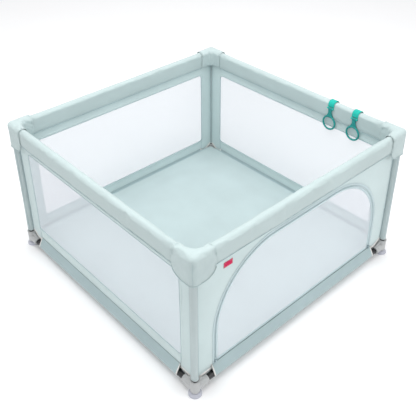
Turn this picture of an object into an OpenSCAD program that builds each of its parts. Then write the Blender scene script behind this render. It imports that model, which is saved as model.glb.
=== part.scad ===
// Playpen: a square knock-down tube frame with padded top rails, net walls, a zipped door,
// a fabric floor, suction-cup feet and two hand pulls. Millimetres, +Z up.
// The origin is on the floor under the middle of the pen. The door faces -Y.

/* [Overall size] */
// Width over the corner caps, along X
overall_w = 1200; // [900:10:1600]
// Depth over the corner caps, along Y
overall_d = 1200; // [900:10:1600]
// Height from the floor to the top of the corner caps
overall_h = 660; // [500:10:800]

/* [Tube frame] */
// Outer diameter of every tube
tube_od = 25; // [19:1:30]
// Wall of every tube
tube_wall = 0.8; // [0.6:0.1:2]
// Radial clearance of a tube in its socket
socket_fit = 0.1; // [0.05:0.01:0.2]
// Wall of a socket
socket_wall = 5.4; // [3.6:0.2:6.6]
// Mouth of each socket, from the corner axis
socket_reach = 56; // [46:1:68]
// Height of the post socket above the bottom rail axis
post_socket_h = 37; // [32:1:48]
// Solid floor of a base connector, between the cup's stud and the post tube
socket_floor = 2.5; // [1.5:0.1:4]
// Thickness of the gusset webs
gusset_t = 5; // [3:0.5:8]
// Raised lip round each socket mouth
lip_w = 4; // [2:0.5:6]
// Height of that lip
lip_h = 1; // [0.4:0.1:1.4]

/* [Suction cups] */
// Diameter of the cup's rim
cup_d = 52; // [40:1:60]
// Height of the cup below its connector
cup_h = 18; // [12:1:24]
// Width of the flat rim that meets the floor
cup_rim = 5; // [3:0.5:8]
// Diameter of the stud that holds the cup
stud_d = 10; // [7:0.5:14]
// Length of that stud
stud_h = 7; // [5:0.5:7]

/* [Padded rails] */
// Foam on each side of the tube
foam_side = 4.5; // [3:0.5:10]
// Foam above the tube
foam_top = 8; // [4:0.5:16]
// Cover and sleeve fabric
fabric_t = 1.5; // [1:0.1:2.5]
// Height of the padded rail
rail_pad_h = 78; // [62:1:100]
// Radius along the bottom edges of the padded rail
rail_low_r = 6; // [3:0.5:8]
// How far the rail cover runs under the cap
cover_tuck = 16; // [6:1:20]

/* [Corner caps] */
// Wall of a cap
cap_wall = 3; // [2:0.5:5]
// Room between a cap and what it covers
cap_gap = 0.5; // [0.3:0.1:2]
// Length of a cap along each rail, from the outer corner
cap_reach = 106; // [90:1:140]
// Height of a cap at the corner
cap_h = 119; // [95:1:140]
// Radius at the skirt's lower end
cap_skirt_r = 30; // [15:1:34]

/* [Walls] */
// Wall plane, inboard of the post axes
wall_inset = 8; // [7:0.5:9]
// Wall thickness
wall_t = 2; // [1.6:0.1:3]
// Net thickness
net_t = 1; // [0.6:0.1:1.4]
// Post axis to the edge of the net
net_side = 83; // [60:1:120]
// Lower edge of the rail cover to the top of the net
net_top = 50; // [30:1:80]
// Top seam of the rail sleeve to the bottom of the net
net_low = 50; // [30:1:80]
// Corner radius of the net
net_r = 16; // [6:1:30]
// Bottom rail axis to the top seam of its sleeve
seam_rise = 42; // [36:1:56]
// Post axis to the end of the rail sleeve
sleeve_end = 88; // [78:1:110]
// Black tube left showing above a base socket
post_show = 7; // [3:1:15]
// Room between a sleeve and its tube
sleeve_gap = 0.3; // [0.2:0.1:1]
// Height of the binding at a corner cut-out
bind_h = 6; // [4:0.5:8]

/* [Door] */
// Post axis to the zip line
door_side = 106; // [90:1:160]
// Lower edge of the rail cover to the top of the zip line
door_top = 49; // [30:1:80]
// Radius of the door's top corners
door_r = 300; // [120:5:320]
// Width of the slit that the zip closes
zip_gap = 1.6; // [1.4:0.1:2.4]
// Zip tape beside the door
zip_tape_w = 13; // [8:1:20]
// Zip tape thickness
zip_tape_t = 0.8; // [0.5:0.1:1.2]
// Width of one row of zip coil
coil_w = 2.4; // [1.8:0.1:3]
// Height of the coil on its tape
coil_t = 1.2; // [0.8:0.1:1.6]
// Binding round the net of the door
door_bind_w = 12; // [10:1:25]
// Slit under the door, above the seam
door_gap = 0.5; // [0.3:0.1:1]

/* [Zip sliders] */
// Length of a slider
slider_h = 14; // [12:1:20]
// Thickness of its front plate
slider_plate = 1.5; // [1:0.1:2]
// Thickness of its side flanges
slider_flange = 1.5; // [1:0.1:2]
// Running clearance round tape and coil
slider_gap = 0.4; // [0.3:0.05:0.6]
// Height of a slider's foot above the seam
slider_rise = 2; // [1:0.5:10]
// Diameter of the pin that carries the pull tab
tab_pin_d = 1.6; // [1.2:0.1:2]
// Length of the tab below its pin
tab_l = 14; // [10:1:14]
// Width of the tab
tab_w = 5; // [4:0.5:6]
// Thickness of the tab
tab_t = 1.2; // [0.8:0.1:1.6]

/* [Floor] */
// Top of the floor above the bottom rail axis
floor_rise = 31; // [29:1:38]
// Floor thickness
floor_t = 3; // [2:0.5:4]

/* [Hand pulls] */
// Outer diameter of the ring
ring_od = 72; // [60:1:90]
// Diameter of the ring's bar
ring_bar = 8.5; // [5:0.5:9]
// Pivot of the pull to the middle of the ring
pull_drop = 72; // [64:1:90]
// Width of the strap
strap_w = 34; // [28:1:44]
// Thickness of the strap
strap_t = 1.5; // [1:0.1:2]
// Width of the pull's stem
stem_w = 20; // [14:1:22]
// Thickness of the stem
stem_t = 5; // [3:0.5:6]
// Diameter of the pull's cross pin
pull_pin_d = 5; // [4:0.5:6]
// Radial running clearance of pins
pin_fit = 0.06; // [0.03:0.01:0.1]
// Top of the rail cover to the pivot of the pull
pull_pivot_drop = 32; // [26:1:40]
// Front right post to the nearer pull
pull_from_post = 218; // [160:1:300]
// Distance between the two pulls
pull_pitch = 130; // [90:1:200]

/* [Tag] */
// Width of the plain sewn-on tag
tag_w = 42; // [20:1:60]
// Height of the tag
tag_h = 23; // [12:1:30]
// Thickness of the tag
tag_t = 1; // [0.6:0.1:1.6]
// Front left post to the middle of the tag
tag_from_post = 164; // [125:1:220]
// Lower edge of the rail cover to the top of the tag
tag_drop = 44; // [4:1:60]

/* [Hidden] */
$fn = 64;
EPS = 0.01;            // overshoot of a cut
CONTACT_GAP = 0.2;     // between fabric pieces that are sewn edge to edge
FOAM_FIT = 0.1;        // foam to tube, and foam to cover
STUD_FIT = 0.1;        // radial room round a cup's stud
STUD_ROOM = 0.5;       // room above the stud
TOP_FLAT = 1.5;        // half the flat along the crest of a cap
SKIRT_INSET = 12;      // end of a cap's arm to the edge of its skirt
EDGE_IN = 5;           // post axis to the edge of the wall fabric
SEAM_H = 8;            // both plies of a sleeve sewn together
SLIDER_ROOM = 3;       // door cut away above a slider
TAPE_RISE = 6;         // foot of the door to the end of its tape, so that it clears the sleeve
LUG_T = 1.2;           // cheeks beside a zip tab
LUG_GAP = 0.3;         // between a cheek and the tab
TAB_GAP = 0.1;         // between the tab's eye and the slider
NECK_GAP = 0.35;       // a slider's neck to each side of the slit
STRAP_GAP = 0.3;       // strap to cover, and strap to stem

tube_r = tube_od / 2;
bore_r = tube_r + socket_fit;
socket_r = bore_r + socket_wall;
tube_stop = socket_r + 2;                       // closed end of a rail socket
post_sink = socket_r - stud_h - STUD_ROOM - socket_floor;   // post tube past the rail axis

cover_half = tube_r + foam_side + fabric_t;
cap_in = max(cover_half, socket_r + lip_h) + cap_gap;
cap_out = cap_in + cap_wall;
post_x = overall_w / 2 - cap_out;
post_y = overall_d / 2 - cap_out;

bottom_rail_z = cup_h + socket_r;
cover_top_z = overall_h - cap_wall - cap_gap;
cover_low_z = cover_top_z - rail_pad_h;
joint_head = post_sink + 2;                     // a top joint's closed end, above the rail axis
cap_top_r = cap_in - TOP_FLAT;
cap_head_z = overall_h - cap_wall - cap_top_r + sqrt(pow(cap_top_r, 2) - pow(socket_r - TOP_FLAT, 2));
top_rail_z = min(cover_top_z - fabric_t - foam_top - tube_r, cap_head_z - CONTACT_GAP - joint_head);
cap_low_z = overall_h - cap_h;
cap_arm = cap_reach - cap_out;                  // from the post axis
cover_end = cap_arm - cover_tuck;               // from the post axis

sleeve_in = tube_r + sleeve_gap;
sleeve_out = sleeve_in + fabric_t;
seam_z = bottom_rail_z + seam_rise;
post_sleeve_z = bottom_rail_z + post_socket_h + post_show;
wall_top_z = cover_low_z - CONTACT_GAP;
post_top_z = min(wall_top_z, top_rail_z - socket_reach - CONTACT_GAP);   // top of the post sleeves
wall_front = wall_inset - wall_t / 2;
wall_back = wall_inset + wall_t / 2;
corner_edge_z = bottom_rail_z + socket_r + bind_h + 2;
notch_r = socket_r + lip_h + 3;
floor_top_z = bottom_rail_z + floor_rise;

door_half = post_x - door_side;
door_top_z = cover_low_z - door_top;
door_low_z = seam_z + door_gap;
door_corner_r = min(door_r, door_half - 20, door_top_z - door_low_z - slider_h - 40);
net_low_z = seam_z + net_low;
net_top_z = cover_low_z - net_top;

slider_z = seam_z + slider_rise;
slider_half = zip_gap / 2 + coil_w + slider_gap + slider_flange;
tape_front = wall_front - zip_tape_t;
coil_front = tape_front - coil_t;
plate_back = coil_front - slider_gap;
plate_front = plate_back - slider_plate;
tab_eye_r = tab_pin_d / 2 + pin_fit + 0.7;
tab_pin_y = plate_front - tab_eye_r - TAB_GAP;
tab_pin_z = slider_z + slider_h - 4;
lug_in = tab_w / 2 + LUG_GAP;

knuckle_r = pull_pin_d / 2 + pin_fit + strap_t;
pull_y = cover_half + STRAP_GAP + knuckle_r;    // inboard of the post axes
pull_z = cover_top_z - pull_pivot_drop;
pull_x = [-post_y + pull_from_post, -post_y + pull_from_post + pull_pitch];
strap_low_z = cover_low_z + rail_low_r + 4;

CORNERS = [["front_left", -1, -1], ["front_right", 1, -1],
           ["back_right", 1, 1], ["back_left", -1, 1]];
SIDES = ["front", "right", "back", "left"];

// ---- Placing ----

// Half the distance between the posts of one side
function half_run(side) = (side == "front" || side == "back") ? post_x : post_y;

// Local frame of a side: X along it, -Y outwards, Y = 0 on the post axes
module on_side(side) {
    turn = side == "front" ? 0 : side == "right" ? 90 : side == "back" ? 180 : 270;
    reach = (side == "front" || side == "back") ? post_y : post_x;
    rotate(turn) translate([0, -reach, 0]) children();
}

// Local frame of a corner: on the post axis, with both arms along +X and +Y
module on_corner(corner) {
    translate([corner[1] * post_x, corner[2] * post_y, 0])
        mirror([corner[1] > 0 ? 1 : 0, 0, 0])
            mirror([0, corner[2] > 0 ? 1 : 0, 0])
                children();
}

// An upright outline, drawn in X and Z, from y0 to y1
module upright(y0, y1) {
    translate([0, y1, 0]) rotate([90, 0, 0]) linear_extrude(y1 - y0) children();
}

// A section, drawn in Y and Z, from x0 to x1
module along_x(x0, x1) {
    translate([x0, 0, 0]) rotate([90, 0, 90]) linear_extrude(x1 - x0) children();
}

module mirror_x() {
    children();
    mirror([1, 0, 0]) children();
}

// ---- Outlines ----

module circle_at(x, y, r) {
    translate([x, y]) circle(r);
}

// A rectangle whose four corners have the radius r
module round_rect(x0, y0, x1, y1, r) {
    translate([x0 + r, y0]) square([x1 - x0 - 2 * r, y1 - y0]);
    translate([x0, y0 + r]) square([x1 - x0, y1 - y0 - 2 * r]);
    for (x = [x0 + r, x1 - r], y = [y0 + r, y1 - r]) circle_at(x, y, r);
}

// A section with a rounded top and a plain or rounded foot
module hood_section(half, low, top, top_r, low_r) {
    translate([-half, low + low_r]) square([2 * half, top - top_r - low - low_r]);
    translate([-half + top_r, top - top_r - EPS]) square([2 * (half - top_r), top_r + EPS]);
    for (x = [-1, 1]) circle_at(x * (half - top_r), top - top_r, top_r);
    if (low_r > 0) {
        translate([-half + low_r, low]) square([2 * (half - low_r), low_r + EPS]);
        for (x = [-1, 1]) circle_at(x * (half - low_r), low + low_r, low_r);
    }
}

// The padded rail's section, grown by a margin on all sides
module rail_section(grow) {
    top_r = cover_half - 1;
    hood_section(cover_half + grow, cover_low_z - grow, cover_top_z + grow,
                 top_r + grow, rail_low_r + grow);
}

// Where a line from p touches a circle of radius r round the origin
function touch(p, r, turn) =
    let (a = atan2(p[1], p[0]) + turn * acos(r / norm(p)))
    [r * cos(a), r * sin(a)];

// How far inboard a rail sleeve reaches at a height above the rail axis
function sleeve_side(h) =
    let (foot = touch([wall_back, seam_rise], sleeve_out, -1))
    wall_back + (foot[0] - wall_back) * (seam_rise - h) / (seam_rise - foot[1]);

// A rail sleeve's section: a tube drawn up to the seam on the wall plane
module drop_section(r, top) {
    left = [wall_front, top - bottom_rail_z];
    right = [wall_back, top - bottom_rail_z];
    translate([0, bottom_rail_z]) {
        circle(r);
        polygon([left, touch(left, r, 1), [0, 0], touch(right, r, -1), right]);
    }
}

// The door's outline, grown by a margin: straight legs and two round top corners
module door_outline(grow, low = door_low_z) {
    half = door_half + grow;
    top = door_top_z + grow;
    r = door_corner_r + grow;
    translate([-half, low]) square([2 * half, top - r - low]);
    translate([-half + r, low]) square([2 * (half - r), top - low]);
    intersection() {
        for (x = [-1, 1]) circle_at(x * (half - r), top - r, r);
        translate([-half, low]) square([2 * half, top - low]);
    }
}

// ---- Frame ----

module tube(length) {
    difference() {
        cylinder(h = length, r = tube_r);
        translate([0, 0, -EPS]) cylinder(h = length + 2 * EPS, r = tube_r - tube_wall);
    }
}

module post_tube(corner) {
    low = bottom_rail_z - post_sink;
    color("#17181a") on_corner(corner) translate([0, 0, low]) tube(top_rail_z + post_sink - low);
}

module rail_tube(side, z) {
    half = half_run(side) - tube_stop;
    color("#17181a") on_side(side) translate([-half, 0, z]) rotate([0, 90, 0]) tube(2 * half);
}

// The outside of a socket along +Z, with the lip round its mouth
module barrel(reach) {
    cylinder(h = reach, r = socket_r);
    translate([0, 0, reach - lip_w]) cylinder(h = lip_w, r = socket_r + lip_h);
}

// The web between a rail socket and the post socket
module gusset(rise) {
    root = socket_r - 3;
    upright(-gusset_t / 2, gusset_t / 2)
        polygon([[root, root], [socket_reach - lip_w, root],
                 [socket_r + 2, rise - lip_w], [root, rise - lip_w]]);
}

// A three-way joint with arms along +X and +Y, its post socket along +Z and a closed end below
module three_way(rise, end) {
    difference() {
        union() {
            translate([0, 0, -end]) cylinder(h = end + EPS, r = socket_r);
            barrel(rise);
            rotate([0, 90, 0]) barrel(socket_reach);
            rotate([-90, 0, 0]) barrel(socket_reach);
            gusset(rise);
            rotate(90) gusset(rise);
        }
        translate([0, 0, -post_sink]) cylinder(h = rise + post_sink + EPS, r = bore_r);
        rotate([0, 90, 0]) translate([0, 0, tube_stop]) cylinder(h = socket_reach, r = bore_r);
        rotate([-90, 0, 0]) translate([0, 0, tube_stop]) cylinder(h = socket_reach, r = bore_r);
    }
}

module base_connector(corner) {
    color("#b4b7b8") on_corner(corner) difference() {
        translate([0, 0, bottom_rail_z]) three_way(post_socket_h, socket_r);
        translate([0, 0, cup_h - EPS]) cylinder(h = stud_h + STUD_ROOM + EPS, r = stud_d / 2 + STUD_FIT);
    }
}

module top_connector(corner) {
    color("#b4b7b8") on_corner(corner)
        translate([0, 0, top_rail_z]) mirror([0, 0, 1]) three_way(socket_reach, joint_head);
}

// A cup with a flat rim, a hollow dome and a stud that plugs into the connector
module suction_cup(corner) {
    r = cup_d / 2;
    neck = socket_r - 6;
    neck_h = 4;
    rim_t = 1.5;
    hollow_h = 8;
    rise = cup_h - neck_h - rim_t;
    dome = [for (a = [0:15:90]) [neck + (r - neck) * cos(a), rim_t + rise * sin(a)]];
    hollow = [for (a = [90:-15:0]) [(r - cup_rim) * cos(a), hollow_h * sin(a)]];
    color("#c8cbdc") on_corner(corner) {
        rotate_extrude() polygon(concat(
            [[r, 0]], dome, [[neck, cup_h], [0, cup_h]], hollow));
        translate([0, 0, cup_h - EPS]) cylinder(h = stud_h, r = stud_d / 2);
    }
}

// ---- Padded rails and corners ----

module rail_foam(side) {
    half = half_run(side) - cover_end - 2;
    color("#e9e6da") on_side(side) difference() {
        along_x(-half, half) rail_section(-fabric_t - FOAM_FIT);
        translate([-half - 1, 0, top_rail_z]) rotate([0, 90, 0])
            cylinder(h = 2 * half + 2, r = tube_r + FOAM_FIT);
    }
}

module rail_cover(side) {
    half = half_run(side) - cover_end;
    color("#bfd3d0") on_side(side) along_x(-half, half) difference() {
        rail_section(0);
        rail_section(-fabric_t);
    }
}

// One cap body: two hooded arms and the quarter turn that joins them outside the post
module cap_body(half, top, low, arm) {
    top_r = half - TOP_FLAT;
    along_x(0, arm) hood_section(half, low, top, top_r, 0);
    mirror([1, -1, 0]) along_x(0, arm) hood_section(half, low, top, top_r, 0);
    rotate(180) rotate_extrude(angle = 90) intersection() {
        hood_section(half, low, top, top_r, 0);
        translate([0, low]) square([half, top - low]);
    }
}

// The skirt that hangs outside the post, on both outer faces, from a height down
module cap_skirt(top) {
    end = cap_arm - SKIRT_INSET;
    r = min(cap_skirt_r, top - cap_low_z);
    turn = [for (a = [-90:15:0]) [end - r + r * cos(a), cap_low_z + r + r * sin(a)]];
    rotate(180) rotate_extrude(angle = 90)
        translate([cap_in, cap_low_z]) square([cap_wall, top - cap_low_z]);
    for (flip = [0, 1]) mirror([flip, -flip, 0]) upright(-cap_out, -cap_in)
        polygon(concat([[0, cap_low_z]], turn, [[end, top], [0, top]]));
}

module corner_cap(corner) {
    arm_low = cover_low_z - fabric_t;
    color("#c9dad8") on_corner(corner) {
        difference() {
            cap_body(cap_out, overall_h, arm_low, cap_arm);
            cap_body(cap_in, overall_h - cap_wall, arm_low - 1, cap_arm + 1);
        }
        cap_skirt(arm_low);
    }
}

module post_sleeves() {
    height = post_top_z - post_sleeve_z;
    color("#bcc8c8") for (corner = CORNERS) on_corner(corner)
        translate([0, 0, post_sleeve_z]) difference() {
            cylinder(h = height, r = sleeve_out);
            translate([0, 0, -EPS]) cylinder(h = height + 2 * EPS, r = sleeve_in);
        }
}

// ---- Walls ----

// The whole sheet of one wall, cut round both posts and their joints
module wall_sheet(side, y0, y1) {
    half = half_run(side);
    difference() {
        upright(y0, y1) translate([-half + EDGE_IN, corner_edge_z])
            square([2 * (half - EDGE_IN), wall_top_z - corner_edge_z]);
        mirror_x() translate([half, 0, 0]) {
            cylinder(h = overall_h, r = sleeve_out + CONTACT_GAP);
            cylinder(h = post_sleeve_z, r = notch_r);
            if (post_top_z < wall_top_z) translate([0, 0, post_top_z]) cylinder(h = overall_h, r = notch_r);
        }
    }
}

module rail_sleeve(side) {
    flat = half_run(side) - sleeve_end;
    along_x(-flat, flat) difference() {
        drop_section(sleeve_out, seam_z);
        drop_section(sleeve_in, seam_z - SEAM_H);
    }
}

module net_outline(side, grow = 0) {
    half = half_run(side) - net_side;
    round_rect(-half - grow, net_low_z - grow, half + grow, net_top_z + grow, net_r + grow);
}

module wall_fabric(side) {
    color("#cbdddb") on_side(side) {
        difference() {
            wall_sheet(side, wall_front, wall_back);
            if (side == "front")
                upright(wall_front - 1, wall_back + 1) door_outline(zip_gap / 2, seam_z);
            else
                upright(wall_front - 1, wall_back + 1) net_outline(side);
        }
        rail_sleeve(side);
    }
}

module wall_net(side) {
    color("#e6ecf0") on_side(side)
        upright(wall_inset - net_t / 2, wall_inset + net_t / 2) net_outline(side);
}

// Pale binding along the cut-outs at the corners, and the hem at each sleeve's end
module corner_bindings() {
    grip = 1;
    color("#dad9d3") for (side = SIDES) on_side(side) mirror_x() {
        half = half_run(side);
        flat = half - sleeve_end;
        difference() {
            upright(wall_front - grip, wall_back + grip)
                translate([flat + 3 + CONTACT_GAP, corner_edge_z - bind_h])
                    square([sleeve_end - 3 - notch_r, bind_h - CONTACT_GAP]);
            translate([half, 0, 0]) cylinder(h = overall_h, r = notch_r);
        }
        along_x(flat + CONTACT_GAP, flat + 3) difference() {
            drop_section(sleeve_out + 0.8, corner_edge_z - CONTACT_GAP);
            drop_section(sleeve_in, corner_edge_z - SEAM_H);
        }
    }
}

module floor_mat() {
    side = sleeve_side(floor_rise - floor_t) + CONTACT_GAP;
    half_w = post_x - side;
    half_d = post_y - side;
    color("#c5dadb") difference() {
        translate([-half_w, -half_d, floor_top_z - floor_t]) cube([2 * half_w, 2 * half_d, floor_t]);
        for (corner = CORNERS) on_corner(corner) cylinder(h = overall_h, r = notch_r);
    }
}

module sewn_tag() {
    low = cover_low_z - tag_drop - tag_h;
    left = -post_x + tag_from_post - tag_w / 2;
    color("#d81e55") on_side("front")
        upright(wall_front - tag_t, wall_front)
            round_rect(left, low, left + tag_w, low + tag_h, 3);
}

// ---- Door and zip ----

// Cut out of the door beside each slider at the foot of the zip
module slider_notch() {
    inner = door_half - slider_half - 1;
    outer = door_half + slider_half;
    mirror_x() translate([inner, -post_y / 2, 0])
        cube([outer - inner, post_y, slider_z + slider_h + SLIDER_ROOM]);
}

module door_net() {
    color("#e6ecf0") on_side("front")
        upright(wall_inset - net_t / 2, wall_inset + net_t / 2)
            door_outline(-zip_gap / 2 - door_bind_w, door_low_z + door_bind_w);
}

module door_binding() {
    color("#a9c3c8") on_side("front") difference() {
        upright(wall_front, wall_back) difference() {
            door_outline(-zip_gap / 2);
            door_outline(-zip_gap / 2 - door_bind_w, door_low_z + door_bind_w);
        }
        slider_notch();
    }
}

// A strip beside the zip slit, from one margin to another
module zip_strip(inner, outer, y0, y1, low) {
    upright(y0, y1) difference() {
        door_outline(outer, low);
        door_outline(inner, low - 1);
    }
}

module zip_tape_door() {
    slit = zip_gap / 2;
    low = door_low_z + TAPE_RISE;
    color("#9fbcc2") on_side("front") difference() {
        union() {
            zip_strip(-slit - door_bind_w + 2, -slit, tape_front, wall_front, low);
            zip_strip(-slit - coil_w, -slit, coil_front, tape_front + EPS, low);
        }
        slider_notch();
    }
}

module zip_tape_wall() {
    slit = zip_gap / 2;
    color("#b4cdd3") on_side("front") {
        zip_strip(slit, slit + zip_tape_w, tape_front, wall_front, seam_z);
        zip_strip(slit, slit + coil_w, coil_front, tape_front + EPS, seam_z);
    }
}

// A block between two corners
module block(x0, y0, z0, x1, y1, z1) {
    translate([x0, y0, z0]) cube([x1 - x0, y1 - y0, z1 - z0]);
}

// Front plate with flanges beside the coil, a neck through the slit, and a back plate
module zip_slider(hand) {
    top = slider_z + slider_h;
    neck = zip_gap / 2 - NECK_GAP;
    neck_h = 6;
    back_t = 1.2;
    rear = wall_back + slider_gap;
    color("#9fb4ba") on_side("front") translate([hand * door_half, 0, 0]) {
        block(-slider_half, plate_front, slider_z, slider_half, plate_back, top);
        mirror_x() block(slider_half - slider_flange, plate_back - EPS, slider_z,
                         slider_half, tape_front - slider_gap, top);
        block(-neck, plate_back - EPS, top - neck_h - 1, neck, rear + EPS, top - 1);
        block(-slider_half + 1, rear, slider_z, slider_half - 1, rear + back_t, top);
        mirror_x() block(lug_in, tab_pin_y - tab_pin_d, tab_pin_z - 2,
                         lug_in + LUG_T, plate_front + EPS, tab_pin_z + 2);
        translate([-lug_in - EPS, tab_pin_y, tab_pin_z]) rotate([0, 90, 0])
            cylinder(h = 2 * (lug_in + EPS), r = tab_pin_d / 2);
    }
}

// The tab hangs from its pin: an eye, a flat and a round end
module zip_tab(hand) {
    end = tab_l - tab_w / 2;
    color("#9fb4ba") on_side("front")
        translate([hand * door_half - tab_w / 2, tab_pin_y, tab_pin_z]) difference() {
            union() {
                rotate([0, 90, 0]) cylinder(h = tab_w, r = tab_eye_r);
                translate([0, -tab_t / 2, -end]) cube([tab_w, tab_t, end]);
                translate([tab_w / 2, tab_t / 2, -end]) rotate([90, 0, 0])
                    cylinder(h = tab_t, r = tab_w / 2);
            }
            translate([-1, 0, 0]) rotate([0, 90, 0])
                cylinder(h = tab_w + 2, r = tab_pin_d / 2 + pin_fit);
        }
}

// ---- Hand pulls ----

// Both straps: over the padded rail, ending in two knuckles each
module pull_straps() {
    inner = stem_w / 2 + STRAP_GAP;
    color("#06c9b4") on_side("right") for (x = pull_x) translate([x, 0, 0]) {
        difference() {
            along_x(-strap_w / 2, strap_w / 2) difference() {
                rail_section(STRAP_GAP + strap_t);
                rail_section(STRAP_GAP);
                translate([-overall_h, 0]) square([overall_h, strap_low_z]);
                square([overall_h, pull_z]);
            }
            block(-inner, 0, pull_z - EPS, inner, 2 * pull_y, pull_z + knuckle_r + 1);
        }
        mirror_x() along_x(inner, strap_w / 2) difference() {
            circle_at(pull_y, pull_z, knuckle_r);
            circle_at(pull_y, pull_z, pull_pin_d / 2 + pin_fit);
        }
    }
}

// A pin through both knuckles, a hub, a stem that widens on to the ring, and the ring
module hand_pull(index) {
    ring_z = pull_z - pull_drop;
    mid_r = (ring_od - ring_bar) / 2;
    hub_r = knuckle_r - 0.2;
    waist = stem_w / 2 - 2;
    waist_z = pull_drop - 22;
    spread = 38;
    foot = [mid_r * sin(spread), mid_r * cos(spread)];
    color("#0aa396") on_side("right") translate([pull_x[index], pull_y, 0]) {
        translate([-strap_w / 2, 0, pull_z]) rotate([0, 90, 0])
            cylinder(h = strap_w, r = pull_pin_d / 2);
        translate([-stem_w / 2, 0, pull_z]) rotate([0, 90, 0]) cylinder(h = stem_w, r = hub_r);
        translate([0, 0, ring_z]) rotate([90, 0, 0])
            rotate_extrude() translate([mid_r, 0]) circle(ring_bar / 2);
        upright(-stem_t / 2, stem_t / 2) translate([0, ring_z]) difference() {
            polygon([[-stem_w / 2, pull_drop], [-waist, waist_z], [-foot[0], foot[1]], foot,
                     [waist, waist_z], [stem_w / 2, pull_drop]]);
            circle(mid_r);
        }
    }
}

// ---- Nodes ----

post_tube(CORNERS[0]);  // post_tube_front_left
post_tube(CORNERS[1]);  // post_tube_front_right
post_tube(CORNERS[2]);  // post_tube_back_right
post_tube(CORNERS[3]);  // post_tube_back_left
rail_tube("front", bottom_rail_z);  // bottom_rail_tube_front
rail_tube("right", bottom_rail_z);  // bottom_rail_tube_right
rail_tube("back", bottom_rail_z);  // bottom_rail_tube_back
rail_tube("left", bottom_rail_z);  // bottom_rail_tube_left
rail_tube("front", top_rail_z);  // top_rail_tube_front
rail_tube("right", top_rail_z);  // top_rail_tube_right
rail_tube("back", top_rail_z);  // top_rail_tube_back
rail_tube("left", top_rail_z);  // top_rail_tube_left
base_connector(CORNERS[0]);  // base_connector_front_left
base_connector(CORNERS[1]);  // base_connector_front_right
base_connector(CORNERS[2]);  // base_connector_back_right
base_connector(CORNERS[3]);  // base_connector_back_left
top_connector(CORNERS[0]);  // top_connector_front_left
top_connector(CORNERS[1]);  // top_connector_front_right
top_connector(CORNERS[2]);  // top_connector_back_right
top_connector(CORNERS[3]);  // top_connector_back_left
suction_cup(CORNERS[0]);  // suction_cup_front_left
suction_cup(CORNERS[1]);  // suction_cup_front_right
suction_cup(CORNERS[2]);  // suction_cup_back_right
suction_cup(CORNERS[3]);  // suction_cup_back_left
rail_foam("front");  // rail_foam_front
rail_foam("right");  // rail_foam_right
rail_foam("back");  // rail_foam_back
rail_foam("left");  // rail_foam_left
rail_cover("front");  // rail_cover_front
rail_cover("right");  // rail_cover_right
rail_cover("back");  // rail_cover_back
rail_cover("left");  // rail_cover_left
corner_cap(CORNERS[0]);  // corner_cap_front_left
corner_cap(CORNERS[1]);  // corner_cap_front_right
corner_cap(CORNERS[2]);  // corner_cap_back_right
corner_cap(CORNERS[3]);  // corner_cap_back_left
post_sleeves();
wall_fabric("front");  // wall_fabric_front
wall_fabric("right");  // wall_fabric_right
wall_fabric("back");  // wall_fabric_back
wall_fabric("left");  // wall_fabric_left
wall_net("right");  // wall_net_right
wall_net("back");  // wall_net_back
wall_net("left");  // wall_net_left
corner_bindings();
floor_mat();
sewn_tag();
door_net();
door_binding();
zip_tape_door();
zip_tape_wall();
zip_slider(-1);  // zip_slider_left
zip_slider(1);  // zip_slider_right
zip_tab(-1);  // zip_tab_left
zip_tab(1);  // zip_tab_right
pull_straps();
hand_pull(0);  // hand_pull_near
hand_pull(1);  // hand_pull_far
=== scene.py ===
"""Looks of a square playpen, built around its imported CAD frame. Metres, +Z up, door at -Y."""

import math

import bmesh
import bpy
from mathutils import Matrix, Vector, noise


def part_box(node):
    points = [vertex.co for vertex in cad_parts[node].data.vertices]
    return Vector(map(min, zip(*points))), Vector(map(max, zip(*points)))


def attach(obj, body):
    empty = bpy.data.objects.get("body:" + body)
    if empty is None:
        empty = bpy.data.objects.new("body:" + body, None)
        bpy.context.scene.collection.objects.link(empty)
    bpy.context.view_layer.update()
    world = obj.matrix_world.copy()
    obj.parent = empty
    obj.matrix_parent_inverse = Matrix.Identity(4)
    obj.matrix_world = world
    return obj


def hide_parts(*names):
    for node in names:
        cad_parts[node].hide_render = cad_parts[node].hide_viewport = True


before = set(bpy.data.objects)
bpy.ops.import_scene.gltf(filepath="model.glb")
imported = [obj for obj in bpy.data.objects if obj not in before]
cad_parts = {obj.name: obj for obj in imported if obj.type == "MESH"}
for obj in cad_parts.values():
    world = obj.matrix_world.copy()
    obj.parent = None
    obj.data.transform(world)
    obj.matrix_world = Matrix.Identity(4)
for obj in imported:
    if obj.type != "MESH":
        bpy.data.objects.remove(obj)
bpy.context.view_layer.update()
scene = bpy.context.scene

MM = 0.001
CORNERS = ("front_left", "front_right", "back_right", "back_left")
SIDES = ("front", "right", "back", "left")
FACES = ((-1, "outer"), (1, "inner"))
ENDS = ((-1, "left"), (1, "right"))
TURN = {name: 90 * i for i, name in enumerate(SIDES)}
TURN.update({name: 90 * i for i, name in enumerate(CORNERS)})


def middle(node, axis):
    low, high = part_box(node)
    return (low[axis] + high[axis]) / 2


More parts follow.
